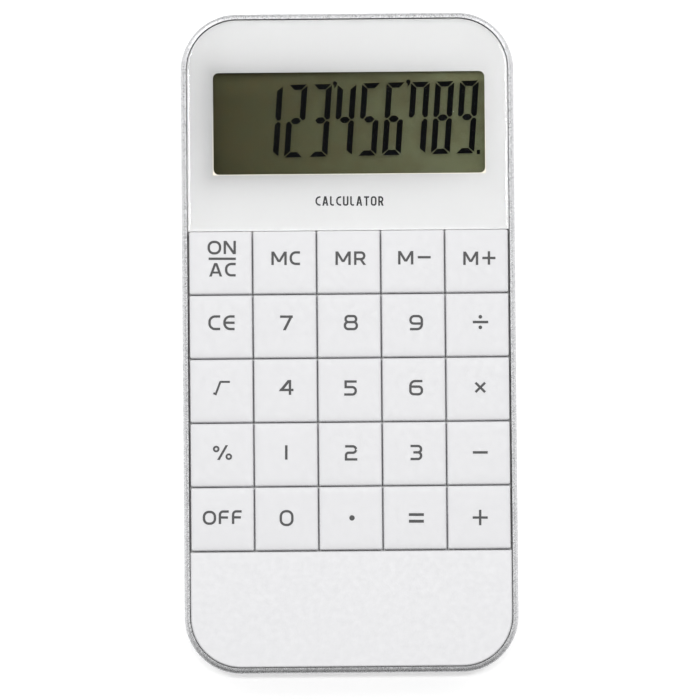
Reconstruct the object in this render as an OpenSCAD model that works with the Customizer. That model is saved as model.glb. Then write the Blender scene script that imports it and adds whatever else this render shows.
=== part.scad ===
// Pocket calculator, slim phone-shaped case.
// It lies on its back: the flat rear face is z = 0, the keys and display face up.
// X runs across the keypad, Y runs up towards the display, the origin is the middle of the rear face's outline.

/* [Body] */
// Width of the case across the keypad
body_w = 59; // [58.6:0.2:60]
// Length of the case
body_l = 116.9; // [116.5:0.1:118]
// Radius of the case's four corners
corner_r = 10; // [9.5:0.25:10.5]
// Height of the silver bezel's front face above the table
bezel_top = 8.7; // [8.5:0.05:8.75]
// Width of the bezel's front face
bezel_face = 0.95; // [0.8:0.05:1.1]
// Bevel on the bezel's outer front edge
bezel_bevel = 0.35; // [0.1:0.05:0.5]
// Height of the parting line between rear cover and bezel
parting_z = 2.4; // [2.3:0.05:2.6]
// Radius of the rear cover's rolled edge
rear_roll = 2.2; // [1.4:0.1:2.2]

/* [Keys] */
// Centre distance between neighbouring keys
key_pitch = 11.35; // [11.2:0.01:11.36]
// Gap between neighbouring key caps
key_gap = 0.32; // [0.25:0.01:0.6]
// Height of the key tops above the table
key_top = 9.0; // [8.9:0.05:9.2]
// How far a key travels before its pill meets the board, and a little over
key_travel = 0.8; // [0.4:0.1:0.8]
// Bevel round a key's top
key_bevel = 0.22; // [0.1:0.02:0.4]
// How much shorter the first row's caps are, at the display side
first_row_trim = 0; // [0:0.05:0.4]

/* [Display] */
// Width of the display window
window_w = 48.2; // [44:0.1:48.8]
// Height of the display window
window_h = 18.1; // [15:0.1:18.5]
// How far the window sits to the right of the middle
window_x = 0.28; // [-0.3:0.02:0.3]
// Thickness of the clear lens and of the lower panel
panel_t = 1.0; // [0.8:0.1:1.0]
// Thickness of each sheet of display glass
glass_t = 0.6; // [0.5:0.05:0.6]

/* [Battery] */
// Diameter of the button cell
cell_d = 11.6; // [11.4:0.1:11.6]
// Angle the battery cap turns from locked to open
cap_turn = 60; // [50:1:70]

/* [Hidden] */
$fn = 48;
e = 0.01;
y_line = 8.58;                 // gap between the first and second key rows
key_w = key_pitch - key_gap;
rows = 5;
cols = 5;
lens_y0 = y_line + key_pitch - key_gap / 2 - first_row_trim + 0.12;   // lower edge of the display lens
pad_y1 = y_line - 4 * key_pitch - key_gap / 2;                        // upper edge of the lower panel
window_y = 38.99;              // middle of the display window
panel_gap = 0.18;
// heights
z_panel_top = 8.8;
z_panel = z_panel_top - panel_t;
z_film = z_panel - 0.1;        // mask and tape sit between this and z_panel
z_plate = 6.8;                 // underside of the chassis plate
z_web_top = 6.2;
z_web = 5.5;
z_mat_top = 3.6;
z_board_top = 3.2;
z_board = 2.2;
z_floor = 1.2;
// inner outline, inside the bezel
in_w = body_w - 2 * bezel_face;
in_l = body_l - 2 * bezel_face;
in_r = corner_r - bezel_face;
ch_w = in_w - 0.1;
ch_l = in_l - 0.1;
ch_r = in_r - 0.05;
case_screws_at = [[19.5, 53.4], [-19.5, 53.4], [25, 22.6], [-25, 22.6], [21.5, -52], [-21.5, -52]];
kx = key_pitch / 2;
board_screws_at = [for (p = [[3, 0], [-3, 0], [1, -2], [-1, -2], [3, -3], [-3, -3]]) [p[0] * kx, y_line + p[1] * key_pitch]];
batt = [0, -47];
pill_z = z_board_top + key_travel - 0.05;
key_names = ["key_on_ac", "key_mc", "key_mr", "key_m_minus", "key_m_plus",
             "key_ce", "key_7", "key_8", "key_9", "key_divide",
             "key_sqrt", "key_4", "key_5", "key_6", "key_multiply",
             "key_percent", "key_1", "key_2", "key_3", "key_minus",
             "key_off", "key_0", "key_point", "key_equals", "key_plus"];

// ---- shapes used more than once ----

// Rectangle with true round corners
module rrect(w, l, r) {
  square([w - 2 * r, l], center = true);
  square([w, l - 2 * r], center = true);
  for (sx = [-1, 1], sy = [-1, 1]) translate([sx * (w / 2 - r), sy * (l / 2 - r)]) circle(r = r);
}

module slab(w, l, r, z0, z1) {
  translate([0, 0, z0]) linear_extrude(z1 - z0) rrect(w, l, r);
}

module block(x0, x1, y0, y1, z0, z1) {
  translate([x0, y0, z0]) cube([x1 - x0, y1 - y0, z1 - z0]);
}

// Carries a profile round a rounded rectangle. The profile's x is counted from the corner's centre, its y is the height
module sweep_outline(w, l, r) {
  for (i = [0, 1, 2, 3]) {
    sx = (i == 0 || i == 3) ? 1 : -1;
    sy = (i < 2) ? 1 : -1;
    translate([sx * (w / 2 - r), sy * (l / 2 - r), 0]) rotate([0, 0, 90 * i]) rotate_extrude(angle = 90) children();
  }
  for (a = [0, 180]) rotate([0, 0, a]) translate([w / 2 - r, l / 2 - r, 0]) rotate([90, 0, 0]) linear_extrude(l - 2 * r) children();
  for (a = [90, 270]) rotate([0, 0, a]) translate([l / 2 - r, w / 2 - r, 0]) rotate([90, 0, 0]) linear_extrude(w - 2 * r) children();
}

// Self-tapping screw pointing up: head from z0 to z0 + head_h, cross recess in its lower face
module screw(head_r, head_h, shank_r, z0, z1) {
  difference() {
    union() {
      translate([0, 0, z0]) cylinder(r = head_r, h = head_h);
      translate([0, 0, z0 + head_h - e]) cylinder(r = shank_r, h = z1 - z0 - head_h - 0.4 + e);
      translate([0, 0, z1 - 0.4]) cylinder(r1 = shank_r, r2 = 0.2, h = 0.4);
    }
    for (a = [0, 90]) rotate([0, 0, a]) translate([-head_r * 0.6, -0.22, z0 - 1]) cube([head_r * 1.2, 0.44, 1 + head_h * 0.55]);
  }
}

// Small triangle cut into the underside, pointing along dir * Y
module mark(dir) {
  translate([0, 0, -0.5]) linear_extrude(0.75) polygon([[-0.65, -0.55 * dir], [0.65, -0.55 * dir], [0, 0.65 * dir]]);
}

// ---- case ----

module bezel_frame() {
  color("silver") sweep_outline(body_w, body_l, corner_r) {
    ro = corner_r;
    polygon([[ro - bezel_face, bezel_top], [ro - bezel_bevel, bezel_top], [ro, bezel_top - bezel_bevel], [ro, parting_z + 0.2],
             [ro - 0.2, parting_z], [ro - bezel_face, parting_z], [ro - bezel_face, 4.5], [ro - bezel_face - 1.3, 4.5],
             [ro - bezel_face - 1.3, z_web], [ro - bezel_face, z_web]]);
  }
}

module rear_cover() {
  color("white") difference() {
    union() {
      sweep_outline(body_w, body_l, corner_r) {
        ro = corner_r;
        intersection() {
          translate([ro - rear_roll, rear_roll]) circle(r = rear_roll);
          translate([ro - rear_roll, 0]) square([rear_roll + 1, rear_roll]);
        }
        translate([ro - rear_roll, rear_roll]) square([rear_roll, parting_z - rear_roll]);
        translate([ro - 2, z_floor]) square([1, 4.4 - z_floor]);
        translate([ro - rear_roll - 1, 0]) square([1, z_floor]);
      }
      slab(body_w - 2 * rear_roll - 1, body_l - 2 * rear_roll - 1, corner_r - rear_roll - 0.5, 0, z_floor);
      for (p = case_screws_at) translate([p[0], p[1], 0.6]) cylinder(r = 2.1, h = 4.6 - 0.6);
      for (p = case_screws_at) translate([p[0], p[1], 0.6]) cylinder(r = 2.55, h = 1);
      translate([batt[0], batt[1], 0.3]) cylinder(r = 8.2, h = 4.6 - 0.3);
      // board rests
      for (x = [-12, 12], y = [45, 33, 14, -8, -20]) translate([x, y, z_floor - 0.2]) cylinder(r = 1.1, h = z_board - z_floor + 0.2);
      for (x = [-23, 23]) block(x - 0.4, x + 0.4, -34, 16, z_floor - 0.2, z_board);
    }
    for (p = case_screws_at) translate([p[0], p[1], 0]) {
      translate([0, 0, -1]) cylinder(r = 1.95, h = 2);
      translate([0, 0, -1]) cylinder(r = 0.95, h = 7);
    }
    translate([batt[0], batt[1], 0]) {
      // locked and open marks beside the cap
      translate([0, 9.0, -0.05]) mark(-1);
      rotate([0, 0, -cap_turn]) translate([-0.6, 8.5, -0.5]) cube([1.2, 0.4, 0.7]);
      translate([0, 0, -1]) cylinder(r = 7.7, h = 2.3);
      translate([0, 0, 1]) cylinder(r = 6.68, h = 5);
      translate([0, 0, 2.3]) cylinder(r = 7.4, h = 3);
      // ways in for the bayonet lugs, at the open angle
      intersection() {
        translate([0, 0, 1]) cylinder(r = 7.4, h = 2);
        for (a = [-cap_turn, 180 - cap_turn]) rotate([0, 0, a]) translate([0, 0, 1]) linear_extrude(2)
          polygon([[0, 0], [10 * cos(18), -10 * sin(18)], [10 * cos(18), 10 * sin(18)]]);
      }
    }
  }
}

module front_chassis() {
  color([0.9, 0.9, 0.9]) difference() {
    union() {
      difference() {
        slab(ch_w, ch_l, ch_r, z_web, z_film);
        block(-40, 40, pad_y1, lens_y0, z_web_top, 10);
        for (s = [[lens_y0 + 1.1, 70], [-70, pad_y1 - 1.1]]) intersection() {
          slab(ch_w - 1.8, ch_l - 1.8, ch_r - 0.9, z_web - 1, z_plate);
          block(-40, 40, s[0], s[1], 0, 10);
        }
        for (r = [0:rows - 1], c = [0:cols - 1]) translate([(c - 2) * key_pitch, y_line + (0.5 - r) * key_pitch, z_web - 1])
          translate([-3.7, -3.7, 0]) cube([7.4, 7.4, 3]);
        translate([window_x, window_y, 0]) slab(window_w + 2, window_h + 2, 1.5, z_plate - 1, 10);
      }
      for (p = case_screws_at) translate([p[0], p[1], 4.6]) cylinder(r = 2.1, h = z_plate - 4.6 + 0.2);
      for (p = board_screws_at) translate([p[0], p[1], z_board_top]) cylinder(r = 1.7, h = z_web - z_board_top + 0.2);
    }
    for (p = case_screws_at) translate([p[0], p[1], 4]) cylinder(r = 0.65, h = 2.7);
    for (p = board_screws_at) translate([p[0], p[1], 3]) cylinder(r = 0.5, h = 2.3);
  }
}

// The part of the inner outline between two heights along Y, for panels and films
module panel_shape(inset, y0, y1, z0, z1) {
  intersection() {
    slab(in_w - 2 * inset, in_l - 2 * inset, in_r - inset, z0, z1);
    block(-40, 40, y0, y1, z0 - 1, z1 + 1);
  }
}

module display_lens() {
  color([0.93, 0.95, 0.96, 0.35]) panel_shape(panel_gap, lens_y0, 70, z_panel, z_panel_top);
}

module lens_mask() {
  color("white") difference() {
    panel_shape(panel_gap + 0.1, lens_y0 + 0.1, 70, z_film, z_panel);
    translate([window_x, window_y, 0]) slab(window_w, window_h, 1, 0, 10);
  }
}

module lower_panel() {
  color("white") panel_shape(panel_gap, -70, pad_y1, z_panel, z_panel_top);
}

module lower_panel_tape() {
  color("ivory") difference() {
    panel_shape(panel_gap + 0.4, -70, pad_y1 - 0.4, z_film, z_panel);
    translate([0, -47.5, 0]) slab(36, 10, 2, 0, 10);
  }
}

// ---- display ----

lcd_x = 26;
lcd_y1 = 50;
lcd_y0 = 26.6;
z_up = z_plate - 0.05 - 0.2 - glass_t;   // underside of the upper glass

module lcd_front_polariser() { color([0.62, 0.66, 0.5, 0.6]) block(-lcd_x + 0.6, lcd_x - 0.6, 29, lcd_y1 - 0.4, z_plate - 0.25, z_plate - 0.05); }
module lcd_upper_glass() { color([0.8, 0.87, 0.84, 0.4]) block(-lcd_x, lcd_x, lcd_y0, lcd_y1, z_up, z_up + glass_t); }
module lcd_lower_glass() { color([0.8, 0.87, 0.84, 0.4]) block(-lcd_x, lcd_x, lcd_y0 + 2.7, lcd_y1, z_up - glass_t, z_up); }
module lcd_reflector() { color([0.42, 0.44, 0.33]) block(-lcd_x + 0.6, lcd_x - 0.6, lcd_y0 + 3.1, lcd_y1 - 0.4, z_up - glass_t - 0.25, z_up - glass_t); }

module lcd_holder() {
  color("dimgray") {
    difference() {
      block(-26.9, 26.9, 25.3, 50.9, z_board_top, z_plate - 0.3);
      block(-lcd_x - 0.1, lcd_x + 0.1, lcd_y0 - 0.1, lcd_y1 + 0.1, 0, 10);
    }
    block(-lcd_x - 0.3, lcd_x + 0.3, 28.95, 29.85, z_board_top, z_up - glass_t - 0.3);
  }
}

module lcd_foam_pad() { color("darkgray") block(-24.5, 24.5, 31, 49, z_board_top, z_up - glass_t - 0.25); }
module zebra_strip() { color([0.85, 0.6, 0.6]) block(-24, 24, 27.0, 28.8, z_board_top, z_up); }

// ---- keypad ----

module dome_at(r, c) { translate([(c - 2) * key_pitch, y_line + (0.5 - r) * key_pitch, 0]) children(); }

module keypad_mat() {
  color([0.86, 0.87, 0.88]) difference() {
    union() {
      difference() {
        block(-27, 27, -36, 19.6, z_board_top, z_mat_top);
        for (r = [0:rows - 1], c = [0:cols - 1]) dome_at(r, c) translate([0, 0, 3]) cylinder(r = 3.5, h = 1);
      }
      for (r = [0:rows - 1], c = [0:cols - 1]) dome_at(r, c) rotate_extrude()
        polygon([[3.3, z_board_top], [3.9, z_board_top], [3.9, z_mat_top], [2.5, 4.35], [2.2, 5.0], [0, 5.0], [0, 4.2], [1.7, 4.2], [2.0, 4.0]]);
    }
    for (p = board_screws_at) translate([p[0], p[1], 3]) cylinder(r = 2.0, h = 2);
  }
}

module contact_pills() {
  color([0.12, 0.12, 0.12]) for (r = [0:rows - 1], c = [0:cols - 1]) dome_at(r, c) translate([0, 0, pill_z]) cylinder(r = 1.5, h = 4.2 - pill_z);
}

// Side view of a cap between two edges: square at the bottom, bevelled at the top
module bevelled(a, b, z0, z1, c) {
  polygon([[a, z0], [b, z0], [b, z1 - c], [b - c, z1], [a + c, z1], [a, z1 - c]]);
}

// One key cap: hollow top, guide stem through the chassis web, two snap legs that hook under the web
module key_cap(r, c) {
  y0 = -key_w / 2;
  y1 = key_w / 2 - (r == 0 ? first_row_trim : 0);
  x1 = key_w / 2;
  zt = key_top - 1.1;
  color("white") dome_at(r, c) {
    difference() {
      intersection() {
        rotate([90, 0, 0]) linear_extrude(2 * key_pitch, center = true) bevelled(-x1, x1, 7.1, key_top, key_bevel);
        rotate([90, 0, 90]) linear_extrude(2 * key_pitch, center = true) bevelled(y0, y1, 7.1, key_top, key_bevel);
      }
      block(-x1 + 0.8, x1 - 0.8, y0 + 0.8, y1 - 0.8, 7, zt);
    }
    block(-2.4, 2.4, -2.4, 2.4, 5.02, zt + e);
    block(-1.1, 1.1, -3.6, 3.6, 5.25, zt + e);
    for (s = [0, 1]) mirror([s, 0, 0]) translate([0, 1.1, 0]) rotate([90, 0, 0]) linear_extrude(2.2)
      polygon([[2.9, 4.95], [3.5, 4.95], [4.1, 5.2], [4.1, 5.42], [3.5, 5.42], [3.5, zt + e], [2.9, zt + e]]);
  }
}

// ---- electronics ----

module circuit_board() {
  color([0.16, 0.36, 0.22]) difference() {
    block(-26.9, 26.9, -38.7, 50.5, z_board, z_board_top);
    for (p = board_screws_at) translate([p[0], p[1], 1]) cylinder(r = 0.75, h = 4);
    for (x = [-25, 25]) translate([x, 22.6, 1]) cylinder(r = 2.4, h = 4);
  }
}

module chip_blob() {
  h = 0.7;
  a = 4.6;
  rs = (a * a + h * h) / (2 * h);
  color([0.08, 0.08, 0.08]) translate([0, y_line, z_board]) mirror([0, 0, 1]) rotate_extrude() intersection() {
    translate([0, h - rs]) circle(r = rs, $fn = 160);
    square([a + 1, h + 1]);
  }
}

module surface_mount_parts() {
  color([0.55, 0.45, 0.35]) for (p = [[-8, 24, 0], [-4, 24, 90], [8, 22, 0], [10, -3, 90], [-9, -3, 90]])
    translate([p[0], p[1], z_board - 0.6]) rotate([0, 0, p[2]]) translate([-0.8, -0.4, 0]) cube([1.6, 0.8, 0.6]);
}

module board_screws() {
  color("silver") for (p = board_screws_at) translate([p[0], p[1], 0]) screw(1.35, 0.6, 0.6, z_board - 0.6, 5.1);
}

module case_screws() {
  color("silver") for (p = case_screws_at) translate([p[0], p[1], 0]) screw(1.7, 0.7, 0.8, 0.3, 6.4);
}

// ---- battery ----

module battery_cap() {
  color("white") translate([batt[0], batt[1], 0]) difference() {
    union() {
      translate([0, 0, 0.05]) cylinder(r1 = 7.3, r2 = 7.55, h = 0.25);
      translate([0, 0, 0.3]) cylinder(r = 7.55, h = 0.95);
      translate([0, 0, 1.2]) cylinder(r = 6.6, h = 1.8);
      intersection() {
        translate([0, 0, 2.35]) cylinder(r = 7.3, h = 0.6);
        for (a = [0, 180]) rotate([0, 0, a]) translate([0, 0, 2]) linear_extrude(2)
          polygon([[0, 0], [10 * cos(15), -10 * sin(15)], [10 * cos(15), 10 * sin(15)]]);
      }
    }
    translate([0, 0, 1.25]) cylinder(r = 6.0, h = 3);
    // coin slot with round ends, and the mark that shows which way the cap has turned
    translate([-4.3, -0.8, -1]) cube([8.6, 1.6, 1.65]);
    for (x = [-4.3, 4.3]) translate([x, 0, -1]) cylinder(r = 0.8, h = 1.65);
    translate([0, 5.7, 0]) mark(1);
  }
}

module button_cell() {
  color("silver") translate([batt[0], batt[1], 1.27]) {
    cylinder(r = cell_d / 2, h = 2.6);
    translate([0, 0, 2.59]) cylinder(r = cell_d / 2 - 1.3, h = 0.46);
  }
}

module battery_contact_positive() {
  color([0.8, 0.78, 0.7]) {
    block(5.82, 6.02, -49, -45, 3.1, 4.95);
    block(5.82, 9, -49, -45, 4.75, 4.95);
    block(7, 9, -46, -38.6, 4.75, 4.95);
    block(7, 9, -38.8, -38.6, z_board_top, 4.95);
    block(7, 9, -38.61, -36.6, z_board_top, z_board_top + 0.2);
  }
}

module battery_contact_negative() {
  color([0.8, 0.78, 0.7]) {
    translate([batt[0], batt[1], 4.34]) cylinder(r = 1, h = 0.5);
    block(-2, 2, -49, -38.6, 4.75, 4.95);
    block(-2, 2, -38.8, -38.6, z_board_top, 4.95);
    block(-2, 2, -38.61, -36.6, z_board_top, z_board_top + 0.2);
  }
}

bezel_frame();
rear_cover();
front_chassis();
display_lens();
lens_mask();
lower_panel();
lower_panel_tape();
lcd_front_polariser();
lcd_upper_glass();
lcd_lower_glass();
lcd_reflector();
lcd_holder();
lcd_foam_pad();
zebra_strip();
keypad_mat();
contact_pills();
circuit_board();
chip_blob();
surface_mount_parts();
board_screws();
case_screws();
battery_cap();
button_cell();
battery_contact_positive();
battery_contact_negative();
for (i = [0:len(key_names) - 1]) key_cap(floor(i / cols), i % cols);
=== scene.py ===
import bpy, bmesh, math
from mathutils import Vector, Matrix
from mathutils.geometry import delaunay_2d_cdt


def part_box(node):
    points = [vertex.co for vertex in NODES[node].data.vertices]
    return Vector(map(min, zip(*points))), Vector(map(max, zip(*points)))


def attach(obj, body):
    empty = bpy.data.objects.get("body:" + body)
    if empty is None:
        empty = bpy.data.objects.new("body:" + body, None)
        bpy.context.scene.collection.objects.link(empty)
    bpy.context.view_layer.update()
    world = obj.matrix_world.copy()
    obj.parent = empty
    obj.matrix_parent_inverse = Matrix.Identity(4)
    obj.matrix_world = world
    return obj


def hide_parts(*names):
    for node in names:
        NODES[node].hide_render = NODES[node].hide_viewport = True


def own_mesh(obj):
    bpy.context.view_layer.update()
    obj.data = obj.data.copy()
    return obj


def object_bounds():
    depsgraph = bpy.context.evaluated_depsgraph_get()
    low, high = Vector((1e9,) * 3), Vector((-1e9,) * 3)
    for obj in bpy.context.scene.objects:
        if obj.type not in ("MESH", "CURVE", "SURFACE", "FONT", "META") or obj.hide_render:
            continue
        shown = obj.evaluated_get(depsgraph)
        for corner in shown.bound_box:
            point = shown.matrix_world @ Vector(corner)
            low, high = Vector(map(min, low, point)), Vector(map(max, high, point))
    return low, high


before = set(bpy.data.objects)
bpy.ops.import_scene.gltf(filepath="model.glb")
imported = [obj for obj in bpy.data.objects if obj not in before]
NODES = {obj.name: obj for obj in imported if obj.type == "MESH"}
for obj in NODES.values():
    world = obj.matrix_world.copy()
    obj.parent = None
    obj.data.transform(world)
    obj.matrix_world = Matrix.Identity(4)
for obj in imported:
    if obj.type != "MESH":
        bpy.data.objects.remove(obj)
cad_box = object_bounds()
MM = 0.001


def box_mm(node):
    lo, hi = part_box(node)
    return [c / MM for c in lo], [c / MM for c in hi]


# ------------------------------------------------------------------ mesh helpers (millimetres in, metres out)

def finish_mesh(name, bm, mats, smooth=30.0, recalc=True):
    if recalc:
        bmesh.ops.recalc_face_normals(bm, faces=bm.faces)
    me = bpy.data.meshes.new(name)
    bm.to_mesh(me)
    bm.free()
    for m in mats:
        me.materials.append(m)
    if smooth is not None:
        me.polygons.foreach_set("use_smooth", [True] * len(me.polygons))
        me.set_sharp_from_angle(angle=math.radians(smooth))
    me.update()
    return me


def new_object(name, me, body, replaces=()):
    ob = bpy.data.objects.new(name, me)
    bpy.context.scene.collection.objects.link(ob)
    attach(ob, body)
    if replaces:
        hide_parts(*replaces)
    return ob


def corner_loop(x0, x1, y0, y1, radii, inset=0.0, n=10):
    """Counter-clockwise outline of a box with its own radius at each corner: bottom left, bottom right, top right, top left."""
    pts = []
    spec = [(x0, y0, radii[0], 180, 1, 1), (x1, y0, radii[1], 270, -1, 1), (x1, y1, radii[2], 0, -1, -1), (x0, y1, radii[3], 90, 1, -1)]
    for cx, cy, r, a0, sx, sy in spec:
        ri = max(r - inset, 0.004)
        ox, oy = cx + sx * (inset + ri), cy + sy * (inset + ri)
        for k in range(n + 1):
            a = math.radians(a0 + 90.0 * k / n)
            pts.append((ox + ri * math.cos(a), oy + ri * math.sin(a)))
    return pts


def add_loops(bm, loops, closed=False, cap_start=True, cap_end=True):
    """Bridges loops of equal length, each a list of (x, y, z) in mm."""
    rings = [[bm.verts.new((x * MM, y * MM, z * MM)) for x, y, z in lp] for lp in loops]
    n = len(rings[0])
    pairs = list(zip(rings, rings[1:])) + ([(rings[-1], rings[0])] if closed else [])
    for a, b in pairs:
        for i in range(n):
            j = (i + 1) % n
            bm.faces.new((a[i], a[j], b[j], b[i]))
    if not closed:
        if cap_start:
            bm.faces.new(rings[0][::-1])
        if cap_end:
            bm.faces.new(rings[-1])
    return rings


def arc(cx, cy, r, a0, a1, n):
    return [(cx + r * math.cos(math.radians(a0 + (a1 - a0) * k / n)), cy + r * math.sin(math.radians(a0 + (a1 - a0) * k / n))) for k in range(n + 1)]


def box_bm(bm, x0, x1, y0, y1, z0, z1):
    add_loops(bm, [[(x0, y0, z), (x1, y0, z), (x1, y1, z), (x0, y1, z)] for z in (z0, z1)])


def prism_bm(bm, pts, z0, z1):
    add_loops(bm, [[(x, y, z) for x, y in pts] for z in (z0, z1)])


def boolean(base, tools, op):
    """Applies an exact boolean of meshes and returns a new mesh. The helper objects are removed."""
    ob = bpy.data.objects.new("bool_base", base)
    bpy.context.scene.collection.objects.link(ob)
    helpers = []
    for k, t in enumerate(tools):
        h = bpy.data.objects.new("bool_tool", t)
        bpy.context.scene.collection.objects.link(h)
        helpers.append(h)
        m = ob.modifiers.new("b%d" % k, "BOOLEAN")
        m.operation = op
        m.solver = "EXACT"
        m.object = h
    dg = bpy.context.evaluated_depsgraph_get()
    me = bpy.data.meshes.new_from_object(ob.evaluated_get(dg))
    for h in helpers:
        bpy.data.objects.remove(h)
    bpy.data.objects.remove(ob)
    return me


def bm_mesh(bm):
    bmesh.ops.recalc_face_normals(bm, faces=bm.faces)
    me = bpy.data.meshes.new("part")
    bm.to_mesh(me)
    bm.free()
    return me


# ------------------------------------------------------------------ flat artwork: unions of polygons, raised a hair

def rounded_path(pts, closed):
    """Turns corners marked (x, y, r) into arcs."""
    out = []
    n = len(pts)
    for i, p in enumerate(pts):
        x, y = p[0], p[1]
        r = p[2] if len(p) > 2 else 0.0
        if r <= 0 or (not closed and i in (0, n - 1)):
            out.append((x, y))
            continue
        a, b = Vector(pts[i - 1][:2]), Vector(pts[(i + 1) % n][:2])
        c = Vector((x, y))
        u, v = (a - c), (b - c)
        lu, lv = u.length, v.length
        u.normalize()
        v.normalize()
        ang = math.acos(max(-1, min(1, u.dot(v))))
        t = r / math.tan(ang / 2)
        lim = min(lu, lv) * (0.5 if closed or 0 < i < n - 1 else 1.0)
        t = min(t, max(lu, lv) if not closed else lim, lu * 0.999, lv * 0.999)
        rr = t * math.tan(ang / 2)
        p0, p1 = c + u * t, c + v * t
        mid = c + (u + v).normalized() * (rr / math.sin(ang / 2))
        a0 = math.atan2(p0.y - mid.y, p0.x - mid.x)
        a1 = math.atan2(p1.y - mid.y, p1.x - mid.x)
        d = a1 - a0
        while d > math.pi:
            d -= 2 * math.pi
        while d < -math.pi:
            d += 2 * math.pi
        k = max(3, int(abs(d) / math.radians(12)))
        for s in range(k + 1):
            q = a0 + d * s / k
            out.append((mid.x + rr * math.cos(q), mid.y + rr * math.sin(q)))
    clean = [out[0]]
    for q in out[1:]:
        if (Vector(q) - Vector(clean[-1])).length > 1e-4:
            clean.append(q)
    if closed and (Vector(clean[0]) - Vector(clean[-1])).length < 1e-4:
        clean.pop()
    return clean


def ribbon(pts, closed, w):
    """Quads along a path, mitred at its corners."""
    p = [Vector(q) for q in rounded_path(pts, closed)]
    n = len(p)
    left, right = [], []
    for i in range(n):
        if closed:
            a, b = p[i - 1], p[(i + 1) % n]
        else:
            a, b = (p[i - 1] if i else None), (p[i + 1] if i < n - 1 else None)
        d0 = (p[i] - a).normalized() if a is not None else None
        d1 = (b - p[i]).normalized() if b is not None else None
        if d0 is None:
            d0 = d1
        if d1 is None:
            d1 = d0
        n0, n1 = Vector((-d0.y, d0.x)), Vector((-d1.y, d1.x))
        m = (n0 + n1)
        m = m.normalized() if m.length > 1e-6 else n0
        k = min(1.0 / max(m.dot(n0), 0.2), 2.2)
        left.append(p[i] + m * (w / 2 * k))
        right.append(p[i] - m * (w / 2 * k))
    quads = []
    for i in range(n if closed else n - 1):
        j = (i + 1) % n
        quads.append([left[i], left[j], right[j], right[i]])
    return quads


def disc(x, y, r, n=28):
    return [Vector((x + r * math.cos(2 * math.pi * k / n), y + r * math.sin(2 * math.pi * k / n))) for k in range(n)]


def artwork_bm(bm, polys, z0, z1):
    """One closed solid from the union of flat polygons."""
    verts, faces = [], []
    for q in polys:
        q = [Vector(v) for v in q]
        area = sum(q[i].x * q[(i + 1) % len(q)].y - q[(i + 1) % len(q)].x * q[i].y for i in range(len(q)))
        if abs(area) < 1e-8:
            continue
        if area < 0:
            q = q[::-1]
        b = len(verts)
        verts += [v.to_2d() if len(v) > 2 else v for v in q]
        faces.append(list(range(b, b + len(q))))
    vo, eo, fo, ov, oe, of = delaunay_2d_cdt(verts, [], faces, 1, 1e-5)
    tris = [f for f, o in zip(fo, of) if len(o) > 0]
    top = {}
    bot = {}
    for f in tris:
        for i in f:
            if i not in top:
                top[i] = bm.verts.new((vo[i].x * MM, vo[i].y * MM, z1 * MM))
                bot[i] = bm.verts.new((vo[i].x * MM, vo[i].y * MM, z0 * MM))
    edges = {}
    for f in tris:
        bm.faces.new([top[i] for i in f])
        bm.faces.new([bot[i] for i in reversed(f)])
        for k in range(len(f)):
            a, b = f[k], f[(k + 1) % len(f)]
            edges[(a, b)] = edges.get((a, b), 0) + 1
    for (a, b) in edges:
        if (b, a) not in edges:
            bm.faces.new((top[b], top[a], bot[a], bot[b]))


# ------------------------------------------------------------------ materials

def srgb(r, g, b):
    def f(c):
        c /= 255.0
        return c / 12.92 if c <= 0.04045 else ((c + 0.055) / 1.055) ** 2.4
    return (f(r), f(g), f(b), 1.0)


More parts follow.
